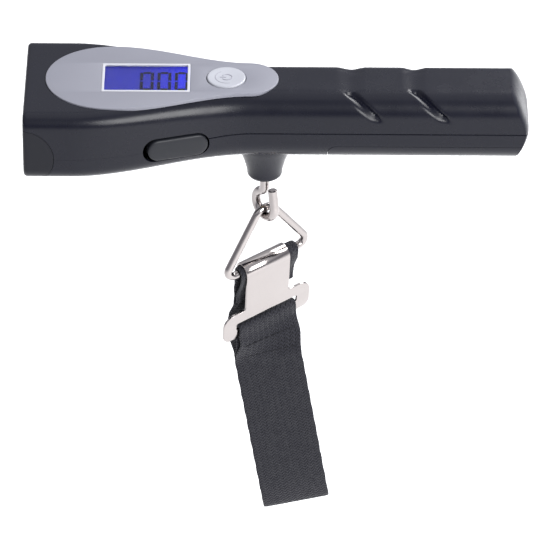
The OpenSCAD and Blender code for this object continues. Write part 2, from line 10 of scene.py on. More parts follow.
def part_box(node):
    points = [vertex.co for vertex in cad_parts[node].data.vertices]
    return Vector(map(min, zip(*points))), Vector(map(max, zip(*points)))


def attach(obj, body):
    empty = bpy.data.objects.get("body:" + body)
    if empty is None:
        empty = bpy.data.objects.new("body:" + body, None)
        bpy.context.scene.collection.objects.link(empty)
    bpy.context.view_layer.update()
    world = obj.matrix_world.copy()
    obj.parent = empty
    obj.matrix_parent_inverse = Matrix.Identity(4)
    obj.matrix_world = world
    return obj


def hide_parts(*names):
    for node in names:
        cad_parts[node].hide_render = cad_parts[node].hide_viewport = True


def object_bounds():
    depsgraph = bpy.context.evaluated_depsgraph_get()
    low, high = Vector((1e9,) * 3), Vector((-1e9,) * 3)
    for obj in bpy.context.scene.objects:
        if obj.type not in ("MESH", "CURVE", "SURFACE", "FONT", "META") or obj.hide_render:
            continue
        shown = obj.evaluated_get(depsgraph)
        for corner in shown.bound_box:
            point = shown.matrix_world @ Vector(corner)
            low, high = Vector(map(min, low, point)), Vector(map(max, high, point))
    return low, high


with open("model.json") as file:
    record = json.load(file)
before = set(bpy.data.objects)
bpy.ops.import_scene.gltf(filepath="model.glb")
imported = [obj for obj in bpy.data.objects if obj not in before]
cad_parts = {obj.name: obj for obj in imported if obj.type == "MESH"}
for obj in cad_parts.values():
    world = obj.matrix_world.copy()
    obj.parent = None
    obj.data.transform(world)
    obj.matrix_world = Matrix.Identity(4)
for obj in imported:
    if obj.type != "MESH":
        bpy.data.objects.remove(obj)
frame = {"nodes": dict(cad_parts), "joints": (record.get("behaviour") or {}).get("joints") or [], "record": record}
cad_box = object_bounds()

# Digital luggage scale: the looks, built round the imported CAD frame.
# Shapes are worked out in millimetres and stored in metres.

MM = 0.001
joints = {j["name"]: j for j in frame["joints"]}


# ---------------------------------------------------------------- camera and light

ELEVATION = math.radians(33.5)
CAMERA_DISTANCE = 2.0
CAMERA_ROLL = math.radians(0.35)
AIM = Vector((-45.3, 0, -71.5)) * MM
LENS = 354
HORIZON, SKY = (0.38, 0.38, 0.42, 1), (0.74, 0.75, 0.79, 1)
HORIZON_FROM, HORIZON_TO, SKY_FROM = 0.04, 0.2, 0.5
# Each light: name, place, aim, size and power
LIGHTS = (("top_box", (-0.2, 0.3, 2.2), (-0.05, 0, -0.1), (2.0, 2.0), 7),
          ("front_right", (0.72, -1.15, 0.62), (-0.08, 0, 0), (0.85, 0.85), 27),
          ("right_strip", (0.76, 0.68, 0.86), (0, 0, 0), (1.3, 0.6), 25))
FLOOR_SIZE, FLOOR_DROP = 12, 0.25


def make_camera():
    data = bpy.data.cameras.new("camera")
    data.lens = LENS
    data.sensor_width = 36
    data.clip_end = 20
    camera = bpy.data.objects.new("camera", data)
    back = Vector((0, -math.cos(ELEVATION), math.sin(ELEVATION)))
    turn = (-back).to_track_quat("-Z", "Y").to_matrix().to_4x4()
    roll = Matrix.Rotation(CAMERA_ROLL, 4, "Z")
    camera.matrix_world = Matrix.Translation(AIM + back * CAMERA_DISTANCE) @ turn @ roll
    bpy.context.scene.collection.objects.link(camera)
    bpy.context.scene.camera = camera


def make_light(name, place, aim, size, power):
    data = bpy.data.lights.new(name, "AREA")
    data.shape = "RECTANGLE"
    data.size, data.size_y = size
    data.energy = power
    light = bpy.data.objects.new(name, data)
    place, aim = Vector(place), Vector(aim)
    turn = (aim - place).to_track_quat("-Z", "Y").to_matrix().to_4x4()
    light.matrix_world = Matrix.Translation(place) @ turn
    bpy.context.scene.collection.objects.link(light)


def make_world():
    """A pale sky that darkens evenly towards the horizon."""
    world = bpy.data.worlds.new("studio")
    world.use_nodes = True
    tree = world.node_tree
    split = tree.nodes.new("ShaderNodeSeparateXYZ")
    ramp = tree.nodes.new("ShaderNodeValToRGB")
    low, high = ramp.color_ramp.elements
    low.position, low.color = HORIZON_FROM, HORIZON
    high.position, high.color = SKY_FROM, SKY
    ramp.color_ramp.elements.new(HORIZON_TO).color = HORIZON
    tree.links.new(tree.nodes.new("ShaderNodeTexCoord").outputs["Generated"], split.inputs[0])
    tree.links.new(split.outputs["Z"], ramp.inputs["Fac"])
    tree.links.new(ramp.outputs["Color"], tree.nodes["Background"].inputs["Color"])
    bpy.context.scene.world = world
    bpy.context.scene.view_settings.view_transform = "Standard"


def make_floor():
    floor_z = cad_box[0][2] - FLOOR_DROP
    bpy.ops.mesh.primitive_plane_add(size=FLOOR_SIZE, location=(0, 0, floor_z))
    floor = bpy.context.object
    floor.name = "floor"
    floor.data.materials.append(plain("floor", (0.95, 0.95, 0.95), 0.7))


# ---------------------------------------------------------------- materials


class Nodes:
    """A small helper that adds and links shader nodes."""

    def __init__(self, name):
        self.material = bpy.data.materials.new(name)
        self.material.use_nodes = True
        self.tree = self.material.node_tree
        self.shader = self.tree.nodes["Principled BSDF"]
        self.place = self.add("ShaderNodeTexCoord").outputs["Object"]

    def add(self, kind, **settings):
        node = self.tree.nodes.new(kind)
        for key, value in settings.items():
            setattr(node, key, value)
        return node

    def link(self, source, target):
        self.tree.links.new(source, target)

    def set(self, **values):
        for key, value in values.items():
            self.shader.inputs[key.replace("_", " ")].default_value = value

    def noise(self, per_mm, detail=3.0, stretch=None):
        """Noise with this many cells to the millimetre, squeezed along each axis by stretch."""
        source = self.place
        if stretch:
            mapping = self.add("ShaderNodeMapping")
            mapping.inputs["Scale"].default_value = stretch
            self.link(source, mapping.inputs["Vector"])
            source = mapping.outputs[0]
        node = self.add("ShaderNodeTexNoise")
        node.inputs["Scale"].default_value = per_mm / MM
        node.inputs["Detail"].default_value = detail
        self.link(source, node.inputs["Vector"])
        return node.outputs["Fac"]

    def math(self, operation, *values, clamp=False):
        node = self.add("ShaderNodeMath", operation=operation, use_clamp=clamp)
        for socket, value in zip(node.inputs, values):
            if isinstance(value, (int, float)):
                socket.default_value = value
            else:
                self.link(value, socket)
        return node.outputs[0]

    def spread(self, value, low, high):
        """A noise value, stretched to run from low to high."""
        node = self.add("ShaderNodeMapRange")
        self.link(value, node.inputs["Value"])
        node.inputs["From Min"].default_value = 0.3
        node.inputs["From Max"].default_value = 0.7
        node.inputs["To Min"].default_value = low
        node.inputs["To Max"].default_value = high
        return node.outputs[0]

    def ramp(self, value, low, high):
        node = self.add("ShaderNodeValToRGB")
        node.color_ramp.elements[0].color = (*low, 1)
        node.color_ramp.elements[1].color = (*high, 1)
        self.link(value, node.inputs["Fac"])
        return node.outputs["Color"]

    def bump(self, height, strength, distance_mm):
        node = self.add("ShaderNodeBump")
        node.inputs["Strength"].default_value = strength
        node.inputs["Distance"].default_value = distance_mm * MM
        self.link(height, node.inputs["Height"])
        self.link(node.outputs[0], self.shader.inputs["Normal"])


def plain(name, colour, rough):
    """An even matt surface, for the floor."""
    n = Nodes(name)
    n.link(n.ramp(n.noise(0.002), tuple(c * 0.98 for c in colour), colour),
           n.shader.inputs["Base Color"])
    n.set(Roughness=rough)
    return n.material


def plastic(name, colour, rough, grain=0.12, mottle=0.15, texture=2.2, shine=0.5):
    """Moulded plastic: fine surface grain, cloudy gloss and faint colour variation."""
    n = Nodes(name)
    n.set(Specular_IOR_Level=shine)
    darker = tuple(c * (1 - mottle) for c in colour)
    lighter = tuple(min(1, c * (1 + mottle)) for c in colour)
    n.link(n.ramp(n.noise(0.06), darker, lighter), n.shader.inputs["Base Color"])
    n.link(n.spread(n.noise(0.12, 5), rough * 0.86, rough * 1.16), n.shader.inputs["Roughness"])
    n.bump(n.noise(texture, 2), grain, 0.03)
    return n.material


def metal(name, colour, rough, stretch=(1, 1, 1), scratch=0.2):
    """Plated metal: faint polishing lines, cloudy gloss and tiny pits."""
    n = Nodes(name)
    n.set(Metallic=1.0)
    darker = tuple(c * 0.92 for c in colour)
    n.link(n.ramp(n.noise(0.1), darker, colour), n.shader.inputs["Base Color"])
    lines = n.noise(1.6, 4, stretch=stretch)
    n.link(n.spread(n.math("ADD", n.math("MULTIPLY", lines, 0.5),
                           n.math("MULTIPLY", n.noise(0.15, 4), 0.5)),
                    rough * 0.7, rough * 1.4), n.shader.inputs["Roughness"])
    n.bump(lines, scratch, 0.01)
    return n.material


def clear(name, tint):
    """Clear plastic, faintly smeared."""
    n = Nodes(name)
    n.set(Transmission_Weight=1.0, IOR=1.22, Specular_IOR_Level=0.12)
    n.link(n.ramp(n.noise(0.1), tint, (1, 1, 1)), n.shader.inputs["Base Color"])
    n.link(n.spread(n.noise(0.3, 4), 0.01, 0.05), n.shader.inputs["Roughness"])
    return n.material


def lit_display(name, box):
    """The backlit glass: deep blue, brighter towards the lamp on the right."""
    n = Nodes(name)
    split = n.add("ShaderNodeSeparateXYZ")
    n.link(n.place, split.inputs[0])
    low, high = box
    across = n.math("DIVIDE", n.math("SUBTRACT", split.outputs[0], low[0]),
                    high[0] - low[0], clamp=True)
    glow = n.math("ADD", n.math("POWER", across, 4.0), n.math("MULTIPLY", n.noise(0.3), 0.12),
                  clamp=True)
    colour = n.ramp(glow, (0.006, 0.008, 0.17), (0.006, 0.009, 0.54))
    n.link(colour, n.shader.inputs["Base Color"])
    n.link(colour, n.shader.inputs["Emission Color"])
    n.set(Roughness=0.25, Emission_Strength=0.75, Specular_IOR_Level=0.1)
    return n.material


def webbing(name, colour, rib_mm=1.15, pick_mm=1.3):
    """Woven polyester webbing: chevron ribs of yarn, from UVs measured in metres, with a painted highlight on the
    yarn crests and painted shade between them.
    """
    n = Nodes(name)
    uv = n.add("ShaderNodeTexCoord").outputs["UV"]
    split = n.add("ShaderNodeSeparateXYZ")
    n.link(uv, split.inputs[0])
    u = n.math("DIVIDE", split.outputs[0], rib_mm * MM)
    v = n.math("DIVIDE", split.outputs[1], pick_mm * MM)
    zigzag = n.math("MULTIPLY", n.math("PINGPONG", u, 1.0), 0.8)
    yarn = n.math("PINGPONG", n.math("ADD", v, zigzag), 0.5)
    rib = n.math("PINGPONG", u, 0.5)
    fuzz = n.noise(2.5, 4)
    height = n.math("ADD", n.math("MULTIPLY", yarn, 1.4), n.math("MULTIPLY", rib, 0.7))
    height = n.math("ADD", height, n.math("MULTIPLY", fuzz, 0.35))
    n.bump(height, 1.0, 0.4)
    # Painted light: the colour follows the yarn's height, lighter on the crests as a painted highlight and darker
    # in the hollows as painted shade, plus random fuzz tone.
    hollow_shade = tuple(c * 0.3 for c in colour)
    light = tuple(c * 2.5 for c in colour)
    yarn_shade_and_fuzz = n.math("ADD", n.math("MULTIPLY", yarn, 1.1), n.math("MULTIPLY", fuzz, 0.35))
    n.link(n.ramp(yarn_shade_and_fuzz, hollow_shade, light), n.shader.inputs["Base Color"])
    n.link(n.spread(n.noise(0.4, 3), 0.62, 0.85), n.shader.inputs["Roughness"])
    n.set(Sheen_Weight=0.08, Sheen_Roughness=0.45, Specular_IOR_Level=0.25)
    return n.material


def cloth_thread(name, colour):
    """Matt twisted thread."""
    n = Nodes(name)
    n.link(n.ramp(n.noise(1.5), tuple(c * 0.6 for c in colour), colour),
           n.shader.inputs["Base Color"])
    n.set(Roughness=0.75, Specular_IOR_Level=0.25)
    n.bump(n.noise(4, 3), 0.6, 0.1)
    return n.material


CASE = (0.0035, 0.004, 0.0095)
materials = {
    "case_black": plastic("case_black", CASE, 0.27, shine=0.27),
    "plate_grey": plastic("plate_grey", (0.185, 0.188, 0.222), 0.42, grain=0.08, mottle=0.04,
                          texture=4),
    "white_plastic": plastic("white_plastic", (0.34, 0.348, 0.385), 0.35, mottle=0.03),
    "rim_white": plastic("rim_white", (0.43, 0.435, 0.47), 0.35, mottle=0.03),
    "symbol_grey": plastic("symbol_grey", (0.22, 0.22, 0.26), 0.4),
    "clear_window": clear("clear_window", (0.93, 0.95, 1.0)),
    "display_blue": lit_display("display_blue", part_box("lcd_glass")),
    "display_ink": plastic("display_ink", (0.003, 0.003, 0.025), 0.6, shine=0.0),
    "board_green": plastic("board_green", (0.03, 0.16, 0.07), 0.4),
    "chip_black": plastic("chip_black", (0.02, 0.02, 0.02), 0.5),
    "steel": metal("steel", (0.55, 0.55, 0.56), 0.3),
    "button_black": plastic("button_black", (0.010, 0.011, 0.015), 0.42, grain=0.4, texture=3,
                            shine=0.3),
    "bezel_black": plastic("bezel_black", (0.0045, 0.005, 0.009), 0.32, shine=0.25),
    "mirror_coat": metal("mirror_coat", (0.9, 0.9, 0.9), 0.06),
    "led_cream": plastic("led_cream", (0.85, 0.82, 0.5), 0.3),
    "alloy": metal("alloy", (0.70, 0.71, 0.73), 0.35, stretch=(0.05, 1, 1)),
    "gauge_film": plastic("gauge_film", (0.6, 0.35, 0.1), 0.4),
    "bush_brass": metal("bush_brass", (0.65, 0.48, 0.2), 0.3),
    "nickel": metal("nickel", (0.41, 0.379, 0.37), 0.13, scratch=0.08),
    "webbing": webbing("webbing", (0.010, 0.010, 0.014)),
    "thread": cloth_thread("thread", (0.012, 0.012, 0.016)),
    "battery_jacket": plastic("battery_jacket", (0.05, 0.09, 0.30), 0.3),
    "lead_red": plastic("lead_red", (0.5, 0.03, 0.02), 0.45),
    "lead_white": plastic("lead_white", (0.7, 0.7, 0.7), 0.45),
    "lead_yellow": plastic("lead_yellow", (0.6, 0.45, 0.03), 0.45),
}
slot_of = {s["node"]: s["material_slot"] for s in frame["record"]["subparts"]}


def dress(piece, slot, material=None, sharp=32):
    """Smooth shading and one material: the slot's own, or the one named."""
    piece.data.materials.clear()
    piece.data.materials.append(materials[material or slot])
    piece.data.shade_smooth()
    piece.data.set_sharp_from_angle(angle=math.radians(sharp))


def dress_cad_nodes():
    for name, node in frame["nodes"].items():
        node.data.materials.clear()
        node.data.materials.append(materials[slot_of[name]])


# ---------------------------------------------------------------- mesh helpers


WELD, SLIVER = 0.002 * MM, 0.0005 * MM


def link_new(name, data):
    """A new object in the scene's collection."""
    piece = bpy.data.objects.new(name, data)
    bpy.context.scene.collection.objects.link(piece)
    return piece


def piece_from(name, points_mm, faces):
    """A welded mesh with its faces turned outwards, from points in millimetres."""
    mesh = bpy.data.meshes.new(name)
    mesh.from_pydata([tuple(c * MM for c in p) for p in points_mm], [], faces)
    b = bmesh.new()
    b.from_mesh(mesh)
    bmesh.ops.remove_doubles(b, verts=b.verts, dist=WELD)
    bmesh.ops.dissolve_degenerate(b, edges=b.edges, dist=SLIVER)
    bmesh.ops.recalc_face_normals(b, faces=b.faces)
    b.to_mesh(mesh)
    b.free()
    return link_new(name, mesh)


def loft(name, rings, closed_ends=False):
    """A tube of quads through rings with equal numbers of points."""
    n = len(rings[0])
    points = [p for ring in rings for p in ring]
    faces = [(i * n + j, i * n + (j + 1) % n, (i + 1) * n + (j + 1) % n, (i + 1) * n + j)
             for i in range(len(rings) - 1) for j in range(n)]
    if closed_ends:
        faces += [tuple(range(n))[::-1], tuple(range(len(points) - n, len(points)))]
    return piece_from(name, points, faces)


def lathe(name, profile, centre, steps=72):
    """A solid of revolution about a vertical axis."""
    rings = [[(centre[0] + r * math.cos(a), centre[1] + r * math.sin(a), z)
              for a in np.linspace(0, 2 * math.pi, steps, endpoint=False)] for r, z in profile]
    return loft(name, rings)


def settle(piece):
    """Replaces the piece's mesh by its evaluated one, so no modifier is left."""
    graph = bpy.context.evaluated_depsgraph_get()
    mesh = bpy.data.meshes.new_from_object(piece.evaluated_get(graph))
    piece.modifiers.clear()
    piece.data = mesh


def combine(piece, other, operation):
    """Boolean of two closed meshes, which uses up the other one."""
    modifier = piece.modifiers.new("cut", "BOOLEAN")
    modifier.object = other
    modifier.operation = operation
    modifier.solver = "MANIFOLD"
    settle(piece)
    bpy.data.objects.remove(other)


def prism(name, outline, low, high, matrix=Matrix.Identity(4)):
    """A straight prism on an outline, optionally placed by a matrix in millimetres."""
    rings = [[tuple(matrix @ Vector((x, y, z))) for x, y in outline] for z in (low, high)]
    return loft(name, rings, closed_ends=True)


def rounded_plate(name, outlines, thickness, edge, matrix):
    """A flat plate with holes and rounded edges; the first outline is its rim."""
    curve = bpy.data.curves.new(name, "CURVE")
    curve.dimensions = "2D"
    curve.fill_mode = "BOTH"
    curve.extrude = (thickness / 2 - edge) * MM
    curve.bevel_depth = edge * MM
    curve.bevel_resolution = 3
    curve.offset = -edge * MM
    for outline in outlines:
        spline = curve.splines.new("POLY")
        spline.points.add(len(outline) - 1)
        for point, (x, y) in zip(spline.points, outline):
            point.co = (x * MM, y * MM, 0, 1)
        spline.use_cyclic_u = True
    drawn = link_new(name, curve)
    graph = bpy.context.evaluated_depsgraph_get()
    mesh = bpy.data.meshes.new_from_object(drawn.evaluated_get(graph))
    bpy.data.objects.remove(drawn)
    scale = Matrix.Diagonal((MM, MM, MM, 1))
    mesh.transform(scale @ matrix @ scale.inverted())
    plate = link_new(name, mesh)
    b = bmesh.new()
    b.from_mesh(mesh)
    bmesh.ops.remove_doubles(b, verts=b.verts, dist=WELD)
    b.to_mesh(mesh)
    b.free()
    return plate


def circle(r, x=0.0, steps=72):
    return [(x + r * math.cos(a), r * math.sin(a))
            for a in np.linspace(0, 2 * math.pi, steps, endpoint=False)]


def rounded_box(w, h, r, x=0.0, y=0.0, steps=6):
    points = []
    for k, (sx, sy) in enumerate(((1, 1), (-1, 1), (-1, -1), (1, -1))):
        for i in range(steps + 1):
            a = math.radians(90 * k + 90 * i / steps)
            points.append((x + sx * (w / 2 - r) + r * math.cos(a),
                           y + sy * (h / 2 - r) + r * math.sin(a)))
    return points


def stadium(length, height, x=0.0, steps=20):
    """A bar with half-round ends."""
    points = []
    for side in (1, -1):
        for i in range(steps + 1):
            a = math.radians(-90 + 180 * i / steps) + (0 if side > 0 else math.pi)
            points.append((x + side * (length - height) / 2 + height / 2 * math.cos(a),
                           height / 2 * math.sin(a)))
    return points


def wire(name, path, radius, sides=24, closed=False, tip_round=0.0):
    """A round wire along a dense path of points."""
    path = [Vector(p) for p in path]
    count = len(path)
    rings, normal = [], None
    for i in range(count):
        if closed:
            along = (path[(i + 1) % count] - path[i - 1]).normalized()
        else:
            along = (path[min(i + 1, count - 1)] - path[max(i - 1, 0)]).normalized()
        if normal is None:
            normal = along.orthogonal().normalized()
        normal = (normal - along * normal.dot(along)).normalized()
        other = along.cross(normal)
        rings.append([tuple(path[i] + radius * (normal * math.cos(a) + other * math.sin(a)))
                      for a in np.linspace(0, 2 * math.pi, sides, endpoint=False)])
    if closed:
        rings.append(rings[0])
        return loft(name, rings)
    for end, inner in ((0, 1), (-1, -2)):
        along = (path[end] - path[inner]).normalized() * tip_round
        centre = path[end]
        cap = [tuple(centre + (Vector(p) - centre) * (1 - tip_round / radius) + along)
               for p in rings[end]]
        middle = [tuple(centre + along)] * sides
        if end == 0:
            rings = [middle, cap] + rings
        else:
            rings = rings + [cap, middle]
    return loft(name, rings)


# ---------------------------------------------------------------- the body

HEAD_X = -136.0
HALF_H = 13.3
HEAD_B, GRIP_B = 28.0, 14.5
TAPER = (-119.0, -54.0)
CORNER = (5.0, 8.0)
WALL = 2.0
HEAD_EDGE = 1.5
# The parting line is a hairline up to the side button and an open joint past it
SEAM, SEAM_START = 0.07, 0.01
SEAM_EDGE, SEAM_EDGE_START = 0.2, 0.02
SEAM_OPENS = 12
PART_HEAD_Z, PART_Z = -4.2, -1.0
PART_RISE = (-97, 44)
CREASE_X = 44.9
# The grip's end face: distance past the crease and edge inset of each step
END_STEPS = ((0.1, 0.12), (0.45, 0.8), (0.8, 1.9), (1.05, 3.6), (1.2, 6.0))
END_LENGTH, TIP_LENGTH = 1.5, 1.24
LEAN_UP, LEAN_DOWN, LEAN_ROUND, LEAN_REACH = 0.42, 0.36, 3.0, 1.12
BUTTON_X, BUTTON_Z = -80.6, -3.8


def smooth(t):
    """Eases from 0 to 1."""
    t = min(1.0, max(0.0, t))
    return t * t * (3 - 2 * t)


def narrowing(x):
    """0 at the head, 1 at the grip."""
    return smooth((x - TAPER[0]) / (TAPER[1] - TAPER[0]))


def half_w(x):
    return HEAD_B + (GRIP_B - HEAD_B) * narrowing(x)


def corner(x):
    return CORNER[0] + (CORNER[1] - CORNER[0]) * narrowing(x)


def parting(x):
    """Height of the parting line."""
    return PART_HEAD_Z + (PART_Z - PART_HEAD_Z) * smooth((x - PART_RISE[0]) / PART_RISE[1])


def setback(z):
    """How far the grip's end leans back above and below the parting line."""
    dz = z - PART_Z
    slope = LEAN_UP if dz > 0 else LEAN_DOWN
    return slope * (math.sqrt(dz * dz + LEAN_ROUND ** 2) - LEAN_ROUND) * LEAN_REACH


# Each groove: its place along the grip, and where its sharp part starts on the way round.
# GROOVE_W is the width of its left and right facet. DIP_ values shape the part over the top.
GROOVES = ((-18.2, 8.2), (5.2, 6.2))
GROOVE_W = (3.7, 1.7)
GROOVE_LEAN = 0.9
GROOVE_END, GROOVE_RUN_OUT, GROOVE_RUN_IN = 20.4, 2.4, 0.9
GROOVE_DEPTH = 1.75
DIP_W, DIP_DEPTH, DIP_BACK_DEPTH = 5.5, 0.3, 0.55
DIP_DEEPENS, DIP_ENDS = (-3, 4), (-14, 5)


def groove_depth(x, s):
    """Depth of the two diagonal finger grooves, s being the way round from the top's middle.
    Each is a shallow dip over the top and a sharp, leaning V on the front shoulder."""
    total = 0.0
    for centre, start in GROOVES:
        centre += GROOVE_LEAN * max(0.0, s - start)
        soft = abs(x - centre) / DIP_W
        if soft < 1 and s < start + 4:
            depth = DIP_DEPTH + DIP_BACK_DEPTH * smooth((DIP_DEEPENS[0] - s) / DIP_DEEPENS[1])
            depth *= 1 - smooth((DIP_ENDS[0] - s) / DIP_ENDS[1])
            depth *= 1 - smooth((s - start + 1) / 4)
            total += depth * (1 - smooth(soft))
        sharp = (centre - x) / GROOVE_W[0] if x < centre else (x - centre) / GROOVE_W[1]
        if sharp < 1:
            depth = GROOVE_DEPTH * smooth((s - start) / GROOVE_RUN_IN)
            depth *= 1 - smooth((s - GROOVE_END + GROOVE_RUN_OUT) / GROOVE_RUN_OUT)
            total += depth * (1 - sharp)
    return total


SIDE_STEPS, CORNER_STEPS, FLAT_STEPS = 9, 16, 30
HEAD_STEP, GROOVE_STEP, GRIP_STEP = 1.2, 0.4, 1.0
GROOVED = (-42, 34)


def half_profile(x, inset, wall, up):
    """Points from the parting line over the top (or under the bottom) to the other side.
    Each is (y, z, normal y, normal z, way round from the middle)."""
    b, h = half_w(x) - inset - wall, HALF_H - inset - wall
    r = max(0.6, corner(x) - inset - wall)
    sign = 1 if up else -1
    z0 = max(-h + r + 0.5, min(h - r - 0.5, parting(x)))
    open_share = smooth((x - BUTTON_X) / SEAM_OPENS)
    start = z0 + sign * (SEAM_START + (SEAM - SEAM_START) * open_share)
    edge = 0.0
    if wall == 0:
        edge = SEAM_EDGE_START + (SEAM_EDGE - SEAM_EDGE_START) * open_share
    side = [(b - edge, start, 1.0, 0.0)]
    z_first, z_last = start + sign * edge, sign * (h - r)
    for i in range(SIDE_STEPS):
        side.append((b, z_first + (z_last - z_first) * i / (SIDE_STEPS - 1), 1.0, 0.0))
    for i in range(1, CORNER_STEPS):
        a = math.radians(90 * i / CORNER_STEPS)
        side.append((b - r + r * math.cos(a), sign * (h - r + r * math.sin(a)),
                     math.cos(a), sign * math.sin(a)))
    for i in range(FLAT_STEPS // 2 + 1):
        side.append(((b - r) * (1 - 2 * i / FLAT_STEPS), sign * h, 0.0, float(sign)))
    lengths = [0.0]
    for p, q in zip(side[::-1], side[::-1][1:]):
        lengths.append(lengths[-1] + math.hypot(p[0] - q[0], p[1] - q[1]))
    ways = lengths[::-1]
    front = [(-y, z, -ny, nz, s) for (y, z, ny, nz), s in zip(side, ways)]
    back = [(y, z, ny, nz, -s) for (y, z, ny, nz), s in zip(side, ways)][::-1]
    return front + back[1:]


def station_list():
    """(x, inset) of every station, from the head's end face to the grip's end."""
    rows = [(HEAD_X, 9.0), (HEAD_X, 4.0)]
    for a in range(90, -1, -15):
        a = math.radians(a)
        rows.append((HEAD_X + HEAD_EDGE * (1 - math.sin(a)), HEAD_EDGE * (1 - math.cos(a))))
    first, second = GROOVED
    rows += [(x, 0.0) for x in np.arange(HEAD_X + HEAD_EDGE + HEAD_STEP, first, HEAD_STEP)]
    rows += [(x, 0.0) for x in np.arange(first, second, GROOVE_STEP)]
    rows += [(x, 0.0) for x in np.arange(second, CREASE_X, GRIP_STEP)]
    rows += [(CREASE_X, 0.0)] + [(CREASE_X + along, inset) for along, inset in END_STEPS]
    return rows


def place_point(x, p, up, wall):
    """A profile point moved in by the grooves and back by the leaning end."""
    y, z, ny, nz, s = p
    if up:
        depth = groove_depth(x, s)
        y, z = y - ny * depth, z - nz * depth
    length = CREASE_X + END_LENGTH - HEAD_X
    reach = HEAD_X + wall + (x - HEAD_X) * (length - 2 * wall) / length
    return (reach - setback(z) * min(1.0, max(0.0, x / CREASE_X)), y, z)


def half_shell(name, up):
    """A closed half of the case: outer skin, inner skin and the parting faces."""
    rings = []
    for x, inset in station_list():
        outer = [place_point(x, p, up, 0) for p in half_profile(x, inset, 0.0, up)]
        inner = [place_point(x, p, up, WALL) for p in half_profile(x, inset, WALL, up)]
        rings.append(outer + inner[::-1])
    n = len(rings[0]) // 2
    first = [(HEAD_X, 0, parting(HEAD_X))] * n + [(HEAD_X + WALL, 0, parting(HEAD_X))] * n
    tip = CREASE_X + TIP_LENGTH
    last = [(tip, 0, PART_Z)] * n + [(tip - WALL, 0, PART_Z)] * n
    return loft(name, [first] + rings + [last])


def full_solid(name, x_stop):
    """The head's outer form as one closed solid, up to x_stop."""
    rings = []
    for x, inset in station_list():
        if x > x_stop:
            break
        top = [place_point(x, p, True, 0) for p in half_profile(x, inset, 0.0, True)]
        under = [place_point(x, p, False, 0) for p in half_profile(x, inset, 0.0, False)]
        rings.append(top[1:-1] + under[1:-1][::-1])
    n = len(rings[0])
    first = [(HEAD_X, 0, parting(HEAD_X))] * n
    last = [(rings[-1][0][0], 0, parting(HEAD_X))] * n
    return loft(name, [first] + rings + [last])


# Face plate outline, as the CAD part's
PLATE_X = (-128.6, -44.4)
PLATE_B, TIP_R = 21.6, 10.6
TOP_Z = HALF_H + 0.4
PLATE_T = 1.4
PLATE_GAP = 0.22


def plate_half(x):
    """The face plate's half width."""
    t = (x - PLATE_X[0]) / (PLATE_X[1] - PLATE_X[0])
    blunt = math.sqrt(max(0.0, 1 - ((0.3 - t) / 0.3) ** 2.2)) if t < 0.3 else 1.0
    neck = PLATE_B + (TIP_R - PLATE_B) * smooth((t - 0.3) / 0.58)
    past = (x - PLATE_X[1] + TIP_R) / TIP_R
    tip = math.sqrt(max(0.0, 1 - past * past)) if past > 0 else 1.0
    return neck * blunt * tip


def plate_outline(grow=0.0, steps=120):
    """The teardrop, grown outwards by the given amount."""
    xs = [PLATE_X[0] + (PLATE_X[1] - PLATE_X[0]) * (1 - math.cos(math.pi * i / steps)) / 2
          for i in range(steps + 1)]
    upper = [Vector((x, plate_half(x))) for x in xs]
    ring = upper + [Vector((p.x, -p.y)) for p in upper[-2:0:-1]]
    grown = []
    for i, p in enumerate(ring):
        along = (ring[(i + 1) % len(ring)] - ring[i - 1]).normalized()
        grown.append(tuple(p + Vector((-along.y, along.x)) * grow))
    return grown


# The display window and the power button, in the face plate
WINDOW_X, WINDOW_L, WINDOW_W = -92.3, 30.0, 17.4
POWER_X, POWER_R = -63.3, 7.0

# The side button's own frame: x along the wall, y up the wall, z out of it
BUTTON_L, BUTTON_H = 22.5, 8.4
wall_turn = math.atan(half_w(BUTTON_X - 0.5) - half_w(BUTTON_X + 0.5))
side_frame = (Matrix.Translation((BUTTON_X, -half_w(BUTTON_X), BUTTON_Z))
              @ Matrix.Rotation(wall_turn, 4, "Z") @ Matrix.Rotation(math.pi / 2, 4, "X"))

# The torch's axis in x and z, with the drum round it, then the battery cover and the neck
TORCH = (HEAD_X - 0.6, -4.0)
BARREL_R, BARREL_GAP, BEZEL_END = 11.6, 0.16, -118
LENS_R = 6.5
COVER_X, COVER_Z, COVER_GAP = -26.6, -6.2, 0.13
NECK = Vector(joints["hook_swivel"]["pos_m"]) / MM
NECK_R, FLARE_R, FLARE_POWER = 6.45, 10.4, 1.4
NECK_FOOT, NECK_SINK, NECK_BORE = 1.6, 1.2, 4.0


def barrel(r):
    """The upright drum that parts the torch bezel from the case."""
    matrix = Matrix.Translation((TORCH[0], 0, TORCH[1])) @ Matrix.Rotation(math.pi / 2, 4, "X")
    return prism("barrel", circle(r, steps=120), -35, 35, matrix)


def cover_block(shrink):
    """The region of the battery cover, with a rounded upper corner at its start."""
    x0, z1, r = COVER_X + shrink, COVER_Z - shrink, 3.0
    outline = [(x0, -20), (80, -20), (80, z1)]
    outline += [(x0 + r - r * math.sin(math.radians(a)), z1 - r + r * math.cos(math.radians(a)))
                for a in range(0, 91, 10)]
    matrix = Matrix.Rotation(math.pi / 2, 4, "X")
    return prism("cover_block", outline, -40, 40, matrix)


def make_neck():
    """The round neck that holds the hook: a flare, a rounded foot and a shallow recess."""
    drop = NECK.z
    low = drop + NECK_FOOT
    flare = [(NECK_R + (FLARE_R - NECK_R) * (1 - t) ** FLARE_POWER,
              -HALF_H + (low + 0.2 + HALF_H) * t) for t in np.linspace(0, 1, 16)]
    turns = [math.radians(a) for a in range(10, 91, 10)]
    foot = [(NECK_R - 1.5 + 1.5 * math.cos(a), low - NECK_FOOT * math.sin(a)) for a in turns]
    top = -HALF_H + NECK_SINK
    profile = [(0, top), (FLARE_R + 0.4, top)] + flare + foot
    profile += [(NECK_BORE, drop), (NECK_BORE, drop + NECK_SINK), (0, drop + NECK_SINK)]
    return lathe("neck", profile, (NECK.x, NECK.y))


